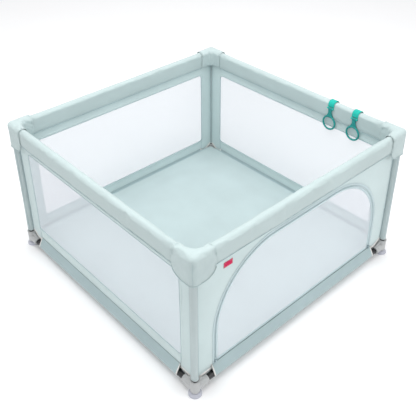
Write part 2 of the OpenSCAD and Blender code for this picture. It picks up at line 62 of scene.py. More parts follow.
# ---- Places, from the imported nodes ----

POST = middle("post_tube_front_right", 0)
TUBE_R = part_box("post_tube_front_right")[1][0] - POST
RAIL_Z = middle("bottom_rail_tube_front", 2)
COVER_LOW, COVER_TOP = (p[2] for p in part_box("rail_cover_front"))
COVER_HALF = (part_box("rail_cover_front")[1][1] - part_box("rail_cover_front")[0][1]) / 2
COVER_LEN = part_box("rail_cover_front")[1][0]
CAP_LOW, CAP_TOP = (p[2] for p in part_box("corner_cap_front_left"))
CAP_HALF = -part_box("corner_cap_front_left")[0][0] - POST
CAP_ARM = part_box("corner_cap_front_left")[1][0] + POST
NET_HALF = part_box("wall_net_back")[1][0]
NET_LOW, NET_TOP = (p[2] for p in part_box("wall_net_back"))
WALL_Y = POST - middle("wall_net_back", 1)
WALL_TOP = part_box("wall_fabric_back")[1][2]
SLEEVE_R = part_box("post_sleeves")[1][0] - POST
SLEEVE_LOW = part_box("post_sleeves")[0][2]
FLOOR_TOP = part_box("floor_mat")[1][2]
FLOOR_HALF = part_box("floor_mat")[1][0]
DOOR_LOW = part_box("door_binding")[0][2]
ZIP_GAP = 1.6 * MM
TAPE_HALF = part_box("zip_tape_wall")[1][0]
TAPE_W = 13 * MM
DOOR_HALF = TAPE_HALF - TAPE_W - ZIP_GAP / 2
DOOR_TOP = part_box("zip_tape_wall")[1][2] - TAPE_W - ZIP_GAP / 2
SEAM_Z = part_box("zip_tape_wall")[0][2]
DOOR_R = 300 * MM
SLEEVE_END = 88 * MM
FLAT = POST - SLEEVE_END
NOTCH = 22 * MM
BIND_W = 12 * MM
EDGE_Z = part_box("corner_bindings")[1][2]
WALL_T = 1.4 * MM
SEAM_IN = 2.2 * MM
PULL_Y = POST - middle("hand_pull_near", 0)
PULL_Z = 624.5 * MM
PULL_X = (middle("hand_pull_near", 1), middle("hand_pull_far", 1))


def side_frame(side):
    """A side's own axes: X along it, +Y inboard from the post axes, Z up."""
    return Matrix.Rotation(math.radians(TURN[side]), 4, "Z") @ Matrix.Translation((0, -POST, 0))


def corner_frame(corner):
    """A corner's own axes: the post axis, with its two rails along +X and +Y."""
    return Matrix.Rotation(math.radians(TURN[corner]), 4, "Z") @ Matrix.Translation((-POST, -POST, 0))


def smooth(a, b, t):
    t = min(1.0, max(0.0, (t - a) / (b - a)))
    return t * t * (3 - 2 * t)


def lerp(a, b, t):
    return a + (b - a) * t


def polar(r, degrees, x=0.0, y=0.0):
    """The point at a distance and a turn from (x, y)."""
    return x + r * math.cos(math.radians(degrees)), y + r * math.sin(math.radians(degrees))


def wobble(x, y, z, size, seed):
    """Smooth noise from -1 to 1, with lumps of about size metres."""
    return noise.noise(Vector((x, y, z)) / size + Vector((seed * 7.3, seed * 3.1, seed * 5.7)))


# ---- Camera ----

CAMERA_AT = Vector((-1.6053, -1.7628, 2.0304))
CAMERA_YAW, CAMERA_DOWN, CAMERA_ROLL = 42.03, 31.36, -0.41
camera_data = bpy.data.cameras.new("camera")
camera = bpy.data.objects.new("camera", camera_data)
scene.collection.objects.link(camera)
camera_data.sensor_width = 36
camera_data.lens = 56.8
camera_data.shift_x = 0.0154
camera_data.shift_y = -0.159
camera_data.clip_end = 60
camera.matrix_world = (
    Matrix.Translation(CAMERA_AT)
    @ Matrix.Rotation(math.radians(-CAMERA_YAW), 4, "Z")
    @ Matrix.Rotation(math.radians(90 - CAMERA_DOWN), 4, "X")
    @ Matrix.Rotation(math.radians(CAMERA_ROLL), 4, "Z")
)
scene.camera = camera
scene.view_settings.view_transform = "Standard"


# ---- Materials ----


class Nodes:
    """A short way to write a Principled material's nodes."""

    def __init__(self, name, color, rough, **sockets):
        self.mat = bpy.data.materials.new(name)
        self.mat.use_nodes = True
        self.tree = self.mat.node_tree
        self.shader = self.tree.nodes["Principled BSDF"]
        self.shader.inputs["Base Color"].default_value = (*color, 1)
        self.shader.inputs["Roughness"].default_value = rough
        self.mat.diffuse_color = (*color, 1)
        for key, value in sockets.items():
            self.shader.inputs[key.replace("_", " ")].default_value = value
        self.place = self.tree.nodes.new("ShaderNodeTexCoord").outputs["Object"]

    def node(self, kind, links=(), **values):
        n = self.tree.nodes.new(kind)
        for key, value in values.items():
            setattr(n, key, value)
        for key, value in dict(links).items():
            socket = n.inputs[key]
            if isinstance(value, bpy.types.NodeSocket):
                self.tree.links.new(value, socket)
            else:
                socket.default_value = value
        return n

    def noise(self, scale, detail=2.0, rough=0.5):
        links = {"Vector": self.place, "Scale": scale, "Detail": detail, "Roughness": rough}
        return self.node("ShaderNodeTexNoise", links).outputs["Fac"]

    def maths(self, how, a, b=0.0, c=None):
        links = {0: a, 1: b} if c is None else {0: a, 1: b, 2: c}
        return self.node("ShaderNodeMath", links, operation=how).outputs[0]

    def mix(self, factor, a, b):
        ramp = self.node("ShaderNodeMix", {0: factor}, data_type="RGBA")
        for socket, value in ((ramp.inputs[6], a), (ramp.inputs[7], b)):
            if isinstance(value, bpy.types.NodeSocket):
                self.tree.links.new(value, socket)
            else:
                socket.default_value = (*value, 1)
        return ramp.outputs[2]

    def range(self, value, low, high, out_low=0.0, out_high=1.0):
        links = {0: value, 1: low, 2: high, 3: out_low, 4: out_high}
        return self.node("ShaderNodeMapRange", links).outputs[0]

    def threads(self, pitch):
        """Crossing threads on any flat face, whichever way it looks."""
        k = 2 * math.pi / pitch
        big = self.node("ShaderNodeVectorMath", {0: self.place, 1: (k, k, k)}, operation="MULTIPLY")
        wave = self.node("ShaderNodeVectorMath", {0: big.outputs[0]}, operation="SINE")
        links = {0: wave.outputs[0], 1: (1, 1, 1)}
        return self.node("ShaderNodeVectorMath", links, operation="DOT_PRODUCT").outputs["Value"]

    def bump(self, height, strength, distance, below=None):
        links = {"Height": height, "Strength": strength, "Distance": distance}
        if below is not None:
            links["Normal"] = below
        return self.node("ShaderNodeBump", links).outputs[0]

    def link(self, value, socket):
        self.tree.links.new(value, self.shader.inputs[socket])
        return self.mat


def shade(color, k):
    return tuple(min(1.0, c * k) for c in color)


def cloth(name, color, pitch=1.1 * MM, rough=0.82, sheen=0.25, crease=0.35, weave=0.5):
    """A woven polyester: threads, slubs, soft creases and a little unevenness of dye."""
    m = Nodes(name, color, rough, Sheen_Weight=sheen, Sheen_Roughness=0.45)
    thread = m.threads(pitch)
    slub = m.noise(900, 1.0)
    tone = m.mix(m.range(m.noise(5.5, 3.0), 0.3, 0.7), shade(color, 0.955), shade(color, 1.035))
    tone = m.mix(m.range(thread, -2.4, 2.4, 0.0, 0.16), tone, shade(color, 0.72))
    tone = m.mix(m.range(slub, 0.45, 0.8, 0.0, 0.22), tone, shade(color, 1.12))
    fold = m.bump(m.noise(26, 3.0, 0.55), crease, 0.004)
    knit = m.bump(thread, weave, 0.00012, fold)
    m.link(tone, "Base Color")
    m.link(m.range(m.noise(40, 2.0), 0.3, 0.7, rough - 0.06, rough + 0.08), "Roughness")
    return m.link(knit, "Normal")


def netting(name, color, alpha):
    """Fine six-sided net: solid threads round small holes, seen as a veil from afar."""
    m = Nodes(name, color, 0.7, Alpha=alpha, Sheen_Weight=0.15)
    part = m.node("ShaderNodeSeparateXYZ", {0: m.place}).outputs
    across = m.maths("ADD", part[0], part[1])
    k = 2 * math.pi / (2.4 * MM)
    waves = []
    for turn in (90, 30, -30):
        a, b = k * math.cos(math.radians(turn)), k * math.sin(math.radians(turn))
        along = m.maths("MULTIPLY_ADD", across, a, m.maths("MULTIPLY", part[2], b))
        waves.append(m.maths("COSINE", along))
    cell = m.maths("ADD", m.maths("ADD", waves[0], waves[1]), waves[2])
    tone = m.mix(m.range(cell, -1.2, 1.8, 0.0, 0.5), color, shade(color, 0.8))
    m.link(tone, "Base Color")
    return m.link(m.bump(cell, 0.35, 0.0002), "Normal")


def moulded(name, color, rough, grain=0.25, coat=0.0, **more):
    """Moulded plastic or a sprayed coat: fine grain, faint flow marks and handling marks."""
    m = Nodes(name, color, rough, Coat_Weight=coat, Coat_Roughness=0.12, **more)
    tone = m.mix(m.range(m.noise(14, 3.0), 0.35, 0.7), shade(color, 0.93), shade(color, 1.05))
    m.link(tone, "Base Color")
    m.link(m.range(m.noise(120, 3.0), 0.3, 0.75, rough * 0.85, rough * 1.25), "Roughness")
    return m.link(m.bump(m.noise(1500, 1.0), grain, 0.00008), "Normal")


def webbing(name, color):
    """Woven strap: coarse ribs across, with a lighter thread now and then."""
    m = Nodes(name, color, 0.6, Sheen_Weight=0.06, Sheen_Roughness=0.4)
    rib = m.threads(2.2 * MM)
    tone = m.mix(m.range(rib, -2, 2), shade(color, 0.8), shade(color, 1.12))
    tone = m.mix(m.range(m.noise(60, 2.0), 0.4, 0.75, 0.0, 0.25), tone, shade(color, 1.25))
    m.link(tone, "Base Color")
    return m.link(m.bump(rib, 0.7, 0.0003), "Normal")


RAIL = cloth("rail cloth", (0.500, 0.600, 0.600), crease=0.45)
# The caps' cloth is the rail cloth made a little lighter: painted light for the highlights the caps catch.
CAP_PAINTED_LIGHT = cloth("cap cloth painted light", (0.510, 0.612, 0.612), crease=0.9)
HEM = cloth("hem cloth", (0.440, 0.550, 0.560), pitch=0.9 * MM, crease=0.1)
WALL = cloth("wall cloth", (0.610, 0.725, 0.725), crease=0.3)
# The post sleeves' cloth is the wall cloth made darker: painted shade on the posts.
SLEEVE_PAINTED_SHADE = cloth("sleeve cloth", (0.480, 0.560, 0.565), crease=0.3)
# The bottom rails' sleeve cloth is made darker than the rest: painted shade on these low, downward-facing sleeves.
LOW_SLEEVE_PAINTED_SHADE = cloth("low sleeve cloth painted shade", (0.410, 0.520, 0.535), crease=0.5)
FLOOR = cloth("floor cloth", (0.500, 0.605, 0.610), pitch=1.4 * MM, crease=0.16, sheen=0.1)
BAND = cloth("band cloth", (0.500, 0.630, 0.655), pitch=0.9 * MM, crease=0.15)
# Cloth for the dark cords: real piping and seams, and also cords that paint shade on and beside the post sleeves and
# the shadow line under the rails.
PIPING_AND_SHADE_CORDS = cloth("piping and shade cord cloth", (0.400, 0.520, 0.545), pitch=0.9 * MM, crease=0.1)
TAPE = cloth("tape cloth", (0.570, 0.690, 0.715), pitch=0.8 * MM, crease=0.1)
BINDING = cloth("binding cloth", (0.820, 0.810, 0.780), pitch=0.9 * MM, crease=0.15)
THREAD = cloth("sewing thread", (0.380, 0.480, 0.490), pitch=0.5 * MM, crease=0.0)
TAG = cloth("tag cloth", (0.640, 0.008, 0.085), pitch=0.7 * MM, sheen=0.03, crease=0.1)
TAG_THREAD = cloth("tag thread", (0.820, 0.780, 0.790), pitch=0.5 * MM, crease=0.0)
NET = netting("net", (0.790, 0.815, 0.870), 0.58)
DOOR_NET = netting("door net", (0.790, 0.815, 0.870), 0.58)
STRAP = webbing("strap webbing", (0.001, 0.520, 0.430))
TEAL = moulded("teal plastic", (0.001, 0.270, 0.250), 0.42, coat=0.1)
GREY = moulded("grey plastic", (0.470, 0.480, 0.480), 0.42, 0.35)
BLACK = moulded("black coat", (0.010, 0.010, 0.012), 0.32, 0.2, coat=0.25)
CUP = moulded("cup", (0.760, 0.775, 0.860), 0.22, 0.1, Transmission_Weight=0.4, IOR=1.42)
SLIDER = moulded("slider coat", (0.400, 0.500, 0.530), 0.35, 0.2, Metallic=0.4)
COIL = moulded("zip coil", (0.560, 0.680, 0.700), 0.38, 0.1)

for name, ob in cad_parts.items():
    kinds = {"post_tube": BLACK, "rail_tube": BLACK, "connector": GREY, "suction_cup": CUP,
             "hand_pull": TEAL, "zip_slider": SLIDER, "zip_tab": SLIDER}
    for key, material in kinds.items():
        if key in name:
            ob.data.materials.clear()
            ob.data.materials.append(material)


# ---- Mesh helpers ----


def piece(name, verts, faces, material, place=None, body="frame"):
    """A new mesh object in the row's own frame, riding on a body."""
    mesh = bpy.data.meshes.new(name)
    mesh.from_pydata([tuple(v) for v in verts], [], faces)
    mesh.materials.append(material)
    if place is not None:
        mesh.transform(place)
    mesh.update()
    for polygon in mesh.polygons:
        polygon.use_smooth = True
    ob = bpy.data.objects.new(name, mesh)
    scene.collection.objects.link(ob)
    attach(ob, body)
    return ob


def grid_faces(rows, columns, wrap_rows=False, wrap_columns=False, start=0):
    """Quads between rows x columns points, stored row by row."""
    faces = []
    for i in range(rows if wrap_rows else rows - 1):
        for j in range(columns if wrap_columns else columns - 1):
            a, b = i * columns, ((i + 1) % rows) * columns
            k = (j + 1) % columns
            faces.append(tuple(start + v for v in (a + j, a + k, b + k, b + j)))
    return faces


def tube_faces(rows, columns, start=0):
    """The faces of a tube of rows rings, with both ends closed."""
    last = start + (rows - 1) * columns
    ends = [tuple(range(first, first + columns)) for first in (start, last)]
    return grid_faces(rows, columns, wrap_columns=True, start=start) + ends


def thicken(ob, thickness, offset=0.0):
    m = ob.modifiers.new("cloth thickness", "SOLIDIFY")
    m.thickness = thickness
    m.offset = offset
    m.use_quality_normals = True
    return ob


def round_off(ob):
    m = ob.modifiers.new("rounding", "SUBSURF")
    m.levels = m.render_levels = 1
    return ob


def face_out(ob):
    """Turns every closed shell's faces outwards."""
    bm = bmesh.new()
    bm.from_mesh(ob.data)
    bmesh.ops.recalc_face_normals(bm, faces=bm.faces)
    bm.to_mesh(ob.data)
    bm.free()
    return ob


def trim(name, path, profile, material, side, body="frame", closed=False, bulge=None):
    """A strip along a path on a side's wall plane. Profile points are (outward in the plane, Y)."""
    verts, n, m = [], len(path), len(profile)
    for i, (x, z) in enumerate(path):
        before = path[(i - 1) % n] if closed or i else path[i]
        after = path[(i + 1) % n] if closed or i < n - 1 else path[i]
        dx, dz = after[0] - before[0], after[1] - before[1]
        size = math.hypot(dx, dz)
        nx, nz = -dz / size, dx / size
        lean = bulge(x, z) if bulge else 0.0
        verts += [(x + nx * a, y + lean, z + nz * a) for a, y in profile]
    faces = grid_faces(n, m, wrap_rows=True, wrap_columns=True) if closed else tube_faces(n, m)
    return face_out(piece(name, verts, faces, material, side_frame(side), body))


def ring_profile(across, y, r, count=8):
    return [polar(r, 360 * i / count, across, y) for i in range(count)]


def flat_profile(a0, a1, y0, y1, soft=0.35):
    """A flat strip's section with soft long edges."""
    r = min(abs(y1 - y0) / 2, abs(a1 - a0) / 2) * soft
    return [(a0 + r, y0), (a1 - r, y0), (a1, y0 + r), (a1, y1 - r),
            (a1 - r, y1), (a0 + r, y1), (a0, y1 - r), (a0, y0 + r)]


def spaced(points, step, closed=False):
    """The same line with points no further apart than step."""
    out = []
    pairs = list(zip(points, points[1:] + points[:1])) if closed else list(zip(points, points[1:]))
    for a, b in pairs:
        n = max(1, math.ceil(math.dist(a, b) / step))
        out += [tuple(lerp(p, q, i / n) for p, q in zip(a, b)) for i in range(n)]
    return out if closed else out + [points[-1]]


def even(points, pitch):
    """Points and directions every pitch along a line."""
    out, left = [], pitch / 2
    for a, b in zip(points, points[1:]):
        long = math.dist(a, b)
        while left < long:
            t = left / long
            out.append((tuple(lerp(p, q, t) for p, q in zip(a, b)),
                        tuple((q - p) / long for p, q in zip(a, b))))
            left += pitch
        left -= long
    return out


def away_from(centre):
    """The facing of stitches on a line that goes round something: away from its middle."""
    def facing(at, way):
        out = at - centre
        return (out - way * out.dot(way)).normalized()

    return facing


def stitches(name, line, facing, material, body="frame", pitch=4.2 * MM, long=2.9 * MM):
    """A row of small rounded bars along a 3-D line. facing is one direction, or a function of place and way."""
    verts, faces = [], []
    sides, r = 5, 0.38 * MM
    for at, way in even(line, pitch):
        at, way = Vector(at), Vector(way)
        out = facing(at, way) if callable(facing) else Vector(facing)
        cross = way.cross(out).normalized()
        start = len(verts)
        for t, k in ((-0.5, 0.4), (-0.3, 1.0), (0.3, 1.0), (0.5, 0.4)):
            for turn in range(0, 360, 360 // sides):
                c, s = math.cos(math.radians(turn)), math.sin(math.radians(turn))
                verts.append(at + way * (t * long) + (out * c + cross * s) * r * k)
        faces += tube_faces(4, sides, start)
    return face_out(piece(name, verts, faces, material, body=body))


def on_side(side, points):
    place = side_frame(side)
    return [tuple(place @ Vector(p)) for p in points]


def puff(ob, pins, pressure, cap, grow=0.0, frames=20):
    """Lets a cloth piece swell by simulation, then keeps the result, within cap of where it was."""
    before = [v.co.copy() for v in ob.data.vertices]
    group = ob.vertex_groups.new(name="sewn down")
    group.add(pins, 1.0, "REPLACE")
    m = ob.modifiers.new("swell", "CLOTH")
    m.settings.vertex_group_mass = group.name
    m.settings.use_pressure = True
    m.settings.uniform_pressure_force = pressure
    m.settings.effector_weights.gravity = 0
    m.settings.shrink_min = -grow
    m.settings.tension_stiffness = 30
    m.settings.compression_stiffness = 30
    m.settings.bending_stiffness = 0.6
    m.settings.quality = 6
    m.collision_settings.use_collision = False
    m.point_cache.frame_start = 1
    m.point_cache.frame_end = frames
    for i in range(1, frames + 1):
        scene.frame_set(i)
    shaped = ob.evaluated_get(bpy.context.evaluated_depsgraph_get())
    after = [v.co.copy() for v in shaped.data.vertices]
    ob.modifiers.remove(m)
    ob.vertex_groups.remove(group)
    scene.frame_set(1)
    for v, a, b in zip(ob.data.vertices, before, after):
        step = b - a
        v.co = a + step * min(1.0, cap / max(step.length, 1e-9))
    ob.data.update()
    return ob


# ---- Padded top rails ----


def hood(half, low, top, top_r, low_r, drop=0.0, arc=7):
    """A rail's section as a closed loop of (y, z), anticlockwise from its inner foot."""
    loop = [(WALL_Y + 3 * MM, low)] if drop else []
    for cy, cz, r, first in ((half - low_r, low - drop + low_r, low_r, -90), (half - top_r, top - top_r, top_r, 0),
                             (top_r - half, top - top_r, top_r, 90), (low_r - half, low + low_r, low_r, 180)):
        steps = arc if r == top_r else 3
        loop += [polar(r, first + 90 * i / steps, cy, cz) for i in range(steps + 1)]
    return loop


INNER_DROP = 6 * MM


def padded_rail(side, seed):
    inset = 2.2 * MM
    half = COVER_HALF - inset
    loop = hood(half, COVER_LOW + 0.4 * MM, COVER_TOP - inset, half - 2 * MM, 4 * MM, INNER_DROP)
    loop = spaced(loop, 11 * MM, closed=True)
    stations = 112
    rows, pins = [], []
    for i in range(stations + 1):
        x = lerp(-COVER_LEN, COVER_LEN, i / stations)
        near_end = 1 - smooth(0.0, 60 * MM, COVER_LEN - abs(x) - 14 * MM)
        for y, z in loop:
            soft = wobble(x, y, z, 90 * MM, seed) * 0.5 * MM + wobble(x, y, z, 24 * MM, seed + 9) * 0.25 * MM
            pleat = near_end * wobble(x * 0.5, y, z, 9 * MM, seed + 4) * 0.7 * MM
            scale = 1 + (soft + pleat) / half
            lift = smooth(COVER_LOW, COVER_LOW + 12 * MM, z)
            rows.append((x, y * scale, z + (soft + pleat) * lift * 0.6))
            if lift < 0.25 or i in (0, stations):
                pins.append(len(rows) - 1)
    ob = piece(f"padded_rail_{side}", rows, tube_faces(stations + 1, len(loop)), RAIL,
               side_frame(side))
    face_out(ob)
    puff(ob, pins, pressure=4.0, cap=2.2 * MM, grow=0.012)
    round_off(ob)
    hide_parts(f"rail_cover_{side}", f"rail_foam_{side}")
    return ob


def rail_sewing(side):
    """A dark welt along each lower edge of the rail, standing for the seam and also for the shadow line under the
    edge (partly painted shade), with a row of stitches above it.
    """
    end = COVER_LEN - 15 * MM
    out = COVER_HALF - 2.4 * MM
    for hand, label in FACES:
        z = COVER_LOW + 1.2 * MM - (INNER_DROP if hand > 0 else 0)
        path = [(lerp(-end, end, i / 60), z) for i in range(61)]
        trim(f"rail_welt_{label}_{side}", path, ring_profile(0, hand * out, 1.5 * MM), PIPING_AND_SHADE_CORDS,
             side)
        line = on_side(side, [(x, hand * (COVER_HALF - 0.5 * MM), z + 7 * MM) for x in (-end, end)])
        direction = side_frame(side).to_3x3() @ Vector((0, hand, 0))
        stitches(f"rail_stitches_{label}_{side}", line, direction, THREAD)


for index, side_name in enumerate(SIDES):
    padded_rail(side_name, index + 1)
    rail_sewing(side_name)


# ---- Corner caps ----


def cap_low_edge(s, soften):
    """Height of a cap's lower edge at a distance from the corner, along the outside."""
    r = COVER_LOW - 2 * MM - CAP_LOW
    t = min(1.0, max(0.0, (s - (CAP_ARM - 2 * MM - r - soften)) / (r + soften)))
    return CAP_LOW + 0.5 * MM + r * (1 - math.sqrt(max(0.0, 1 - t * t)))


def inner_turn(t, d):
    """A point on a cap's inner face: along its arm, then round the inner corner to the diagonal."""
    centre = 52 * MM
    if t <= 0.55:
        return lerp(CAP_ARM, centre, t / 0.55), d
    a = math.radians(45 * (t - 0.55) / 0.45)
    r = centre - d
    return centre - r * math.sin(a), centre - r * math.cos(a)


def corner_cap(corner, seed):
    half, top = CAP_HALF - 1.6 * MM, CAP_TOP - 1.8 * MM
    top_r = half - 3 * MM
    arc, straight, turn = 7, 13, 9
    soften = (16 if seed % 2 else 5) * MM
    crest = [(0.0, top)] + [
        (half - top_r + top_r * math.sin(math.radians(90 * i / arc)),
         top - top_r + top_r * math.cos(math.radians(90 * i / arc))) for i in range(arc + 1)]
    knee = len(crest)
    side_rows = 9
    columns = []
    for i in range(straight):
        s = CAP_ARM * math.cos(math.radians(90 * i / straight))
        columns.append(((s, 0.0), (0.0, -1.0), s))
    for i in range(turn + 1):
        a = math.radians(90 * i / turn)
        columns.append(((0.0, 0.0), (-math.sin(a), -math.cos(a)), 0.0))
    for i in range(1, straight + 1):
        s = CAP_ARM * math.sin(math.radians(90 * i / straight))
        columns.append(((0.0, s), (-1.0, 0.0), s))
    verts, faces, pins = [], [], []

    def add(x, y, z, out, pin=False):
        k = wobble(x, y, z, 30 * MM, seed) * 0.9 * MM + wobble(x, y, z, 11 * MM, seed + 5) * 0.35 * MM
        verts.append((x + out[0] * k, y + out[1] * k, z + out[2] * k))
        if pin:
            pins.append(len(verts) - 1)
        return len(verts) - 1

    index = {}
    for c, (base, way, s) in enumerate(columns):
        low = cap_low_edge(s, soften)
        profile = crest[1:] + [(half, lerp(top - top_r, low, r / side_rows)) for r in range(1, side_rows + 1)]
        for r, (d, z) in enumerate(profile):
            up = 1.0 if d < half * 0.6 else 0.0
            end = c in (0, len(columns) - 1)
            point = (base[0] + way[0] * d, base[1] + way[1] * d)
            index["o", c, r] = add(*point, z, (way[0] * (1 - up), way[1] * (1 - up), up),
                                   end or r >= len(profile) - 2)
    rows_out = knee - 1 + side_rows
    for c in range(len(columns) - 1):
        for r in range(rows_out - 1):
            faces.append((index["o", c, r], index["o", c, r + 1], index["o", c + 1, r + 1], index["o", c + 1, r]))

    # The inner faces of the two arms, which meet on the diagonal
    low = COVER_LOW - 1.5 * MM
    inner = crest[1:] + [(half, lerp(top - top_r, low, r / side_rows)) for r in range(1, side_rows + 1)]
    for arm in (0, 1):
        for c in range(straight + 1):
            for r, (d, z) in enumerate(inner):
                x, y = inner_turn(c / straight, d)
                point = (x, y) if arm == 0 else (y, x)
                if arm == 1 and c == straight:
                    index["i", 1, c, r] = index["i", 0, c, r]
                    continue
                fold = 0.0
                if d > half * 0.5:
                    near = smooth(0.45, 0.95, c / straight)
                    fold = near * math.sin(c * 2.1 + (top - z) / (16 * MM)) * 1.5 * MM * smooth(low, low + 30 * MM, z)
                out = (y - x, 1.0, 0.3) if arm == 0 else (1.0, y - x, 0.3)
                k = add(*point, z, out, c == 0 or r >= len(inner) - 2)
                verts[k] = tuple(p + q * fold for p, q in zip(verts[k], (out[0], out[1], 0)))
                index["i", arm, c, r] = k
        for c in range(straight):
            for r in range(len(inner) - 1):
                quad = (index["i", arm, c, r], index["i", arm, c + 1, r],
                        index["i", arm, c + 1, r + 1], index["i", arm, c, r + 1])
                faces.append(quad if arm == 0 else quad[::-1])
    # The crest joins the outer and the inner halves
    for arm in (0, 1):
        for c in range(straight):
            o = (c, c + 1) if arm == 0 else (len(columns) - 1 - c, len(columns) - 2 - c)
            quad = (index["o", o[0], 0], index["o", o[1], 0],
                    index["i", arm, c + 1, 0], index["i", arm, c, 0])
            faces.append(quad if arm == 0 else quad[::-1])
    pole = [index["o", c, 0] for c in range(straight, straight + turn + 1)]
    hub = add(0.0, 0.0, top + 0.2 * MM, (0, 0, 1))
    fan = pole + [index["i", 0, straight, 0]]
    faces += [(hub, a, b) for a, b in zip(fan, fan[1:] + fan[:1])]

    ob = piece(f"soft_cap_{corner}", verts, faces, CAP_PAINTED_LIGHT, corner_frame(corner))
    bm = bmesh.new()
    bm.from_mesh(ob.data)
    bmesh.ops.remove_doubles(bm, verts=bm.verts, dist=0.05 * MM)
    bmesh.ops.recalc_face_normals(bm, faces=bm.faces)
    bm.to_mesh(ob.data)
    bm.free()
    sewn = [v.index for v in ob.data.vertices if any(
        (Vector(corner_frame(corner) @ Vector(verts[p])) - v.co).length < 0.2 * MM for p in pins)]
    puff(ob, sewn, pressure=2.5, cap=1.8 * MM, grow=0.03)
    thicken(ob, 1.8 * MM, -1.0)
    round_off(ob)
    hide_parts(f"corner_cap_{corner}")
    return columns, half, soften


def cap_sewing(corner, columns, half, soften):
    """The hem along a cap's lower edge, its corner seam and the seams at both ends."""
    place = corner_frame(corner)
    hem = []
    for base, way, s in columns:
        z = cap_low_edge(s, soften) + 2 * MM
        hem.append((base[0] + way[0] * (half + 0.6 * MM), base[1] + way[1] * (half + 0.6 * MM), z))
    tube_along(f"cap_hem_{corner}", hem, 1.5 * MM, HEM, place)
    a = math.radians(45)
    seam = [(-math.sin(a) * (half + 0.5 * MM), -math.cos(a) * (half + 0.5 * MM), z)
            for z in (lerp(CAP_LOW + 3 * MM, CAP_TOP - 21 * MM, i / 12) for i in range(13))]
    tube_along(f"cap_seam_{corner}", seam, 1.0 * MM, HEM, place)
    for arm in (0, 1):
        for inset in (4.5 * MM, 7.5 * MM):
            x = CAP_ARM - inset
            rim = [(half + 0.3 * MM, lerp(COVER_LOW, CAP_TOP - 22 * MM, i / 6)) for i in range(7)]
            r = half - 1.2 * MM
            rim += [polar(r, t, 1.3 * MM, CAP_TOP - 1.4 * MM - r) for t in range(10, 91, 10)]
            line = [(-d, z) for d, z in rim] + [(d, z) for d, z in rim[::-1]]
            line = [(x, y, z) if arm == 0 else (y, x, z) for y, z in line]
            world = [tuple(place @ Vector(p)) for p in line]
            row = "a" if inset < 5 * MM else "b"
            centre = place @ Vector((x, 0, CAP_TOP - 40 * MM) if arm == 0 else (0, x, CAP_TOP - 40 * MM))
            stitches(f"cap_end_stitches_{arm}{row}_{corner}", world, away_from(centre), THREAD)


def tube_along(name, line, r, material, place, sides=7):
    """A thin round cord of piping along a 3-D line."""
    verts = []
    for i, point in enumerate(line):
        p = Vector(point)
        way = (Vector(line[min(i + 1, len(line) - 1)]) - Vector(line[max(i - 1, 0)])).normalized()
        helper = Vector((0, 0, 1)) if abs(way.z) < 0.9 else Vector((1, 0, 0))
        u = way.cross(helper).normalized()
        v = way.cross(u)
        k = 0.35 if i in (0, len(line) - 1) else 1.0
        for j in range(sides):
            t = 2 * math.pi * j / sides
            verts.append(p + (u * math.cos(t) + v * math.sin(t)) * r * k)
    return face_out(piece(name, verts, tube_faces(len(line), sides), material, place))


for index, corner_name in enumerate(CORNERS):
    cap_sewing(corner_name, *corner_cap(corner_name, index + 11))


# ---- Post sleeves ----


def post_sleeve(corner, seed):
    rows, columns = 60, 28
    top = COVER_LOW + 6 * MM
    verts = []
    for i in range(rows + 1):
        z = lerp(SLEEVE_LOW, top, i / rows)
        for j in range(columns):
            t = 2 * math.pi * j / columns
            r = SLEEVE_R - 0.5 * MM
            r += 0.55 * MM * math.sin(3 * t + 2.2 * wobble(0, 0, z, 0.16, seed))
            r += 0.4 * MM * wobble(math.cos(t) * 0.03, math.sin(t) * 0.03, z, 0.03, seed)
            seam = math.exp(-((t - math.radians(45)) / 0.14) ** 2)
            r += 1.1 * MM * seam
            verts.append((r * math.cos(t), r * math.sin(t), z))
    ob = piece(f"post_sleeve_{corner}", verts, grid_faces(rows + 1, columns, wrap_columns=True), SLEEVE_PAINTED_SHADE,
               corner_frame(corner))
    thicken(ob, 0.9 * MM)
    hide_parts("post_sleeves")
    rim = SLEEVE_R + 0.2 * MM
    loop = [(*polar(rim, t), SLEEVE_LOW + 8 * MM) for t in range(0, 361, 10)]
    world = [tuple(corner_frame(corner) @ Vector(p)) for p in loop]
    # Two dark cords down each sleeve, where its round sides turn away from the light: painted shade, not seams.
    for turn, label in ((148, "a"), (302, "b")):
        at = polar(SLEEVE_R + 0.1 * MM, turn)
        line = [(*at, lerp(SLEEVE_LOW + 1 * MM, top, i / 20)) for i in range(21)]
        tube_along(f"post_shade_cord_{label}_{corner}", line, 1.0 * MM, PIPING_AND_SHADE_CORDS, corner_frame(corner))
    stitches(f"post_hem_{corner}", world, away_from(corner_frame(corner) @ Vector((0, 0, SLEEVE_LOW))), THREAD,
             pitch=3.6 * MM, long=2.4 * MM)


for index, corner_name in enumerate(CORNERS):
    post_sleeve(corner_name, index + 31)


# ---- Walls ----


def lean(side, x, z):
    """How far a net wall bellies inwards from its flat plane. The door wall stays flat."""
    if side == "front":
        return 0.0
    across = 1 - (x / POST) ** 2
    up = math.sin(math.pi * min(1, max(0, (z - SEAM_Z) / (WALL_TOP - SEAM_Z))))
    seed = TURN[side] / 90
    return across * up * (3.5 * MM + 2.2 * MM * wobble(x, 0, z, 0.35, seed))


def low_edge(side, x):
    """Height of the wall cloth's lower edge. It rises round the connector, but not at the front left."""
    away = POST - abs(x)
    if (side == "front" and x < 0) or (side == "left" and x > 0):
        return EDGE_Z if away <= SLEEVE_END else SEAM_Z - 7 * MM
    if away > SLEEVE_END:
        return SEAM_Z - 7 * MM
    return EDGE_Z + 1 * MM + (SLEEVE_LOW + 6 * MM - EDGE_Z) * (1 - smooth(14 * MM, 66 * MM, away)) ** 1.4


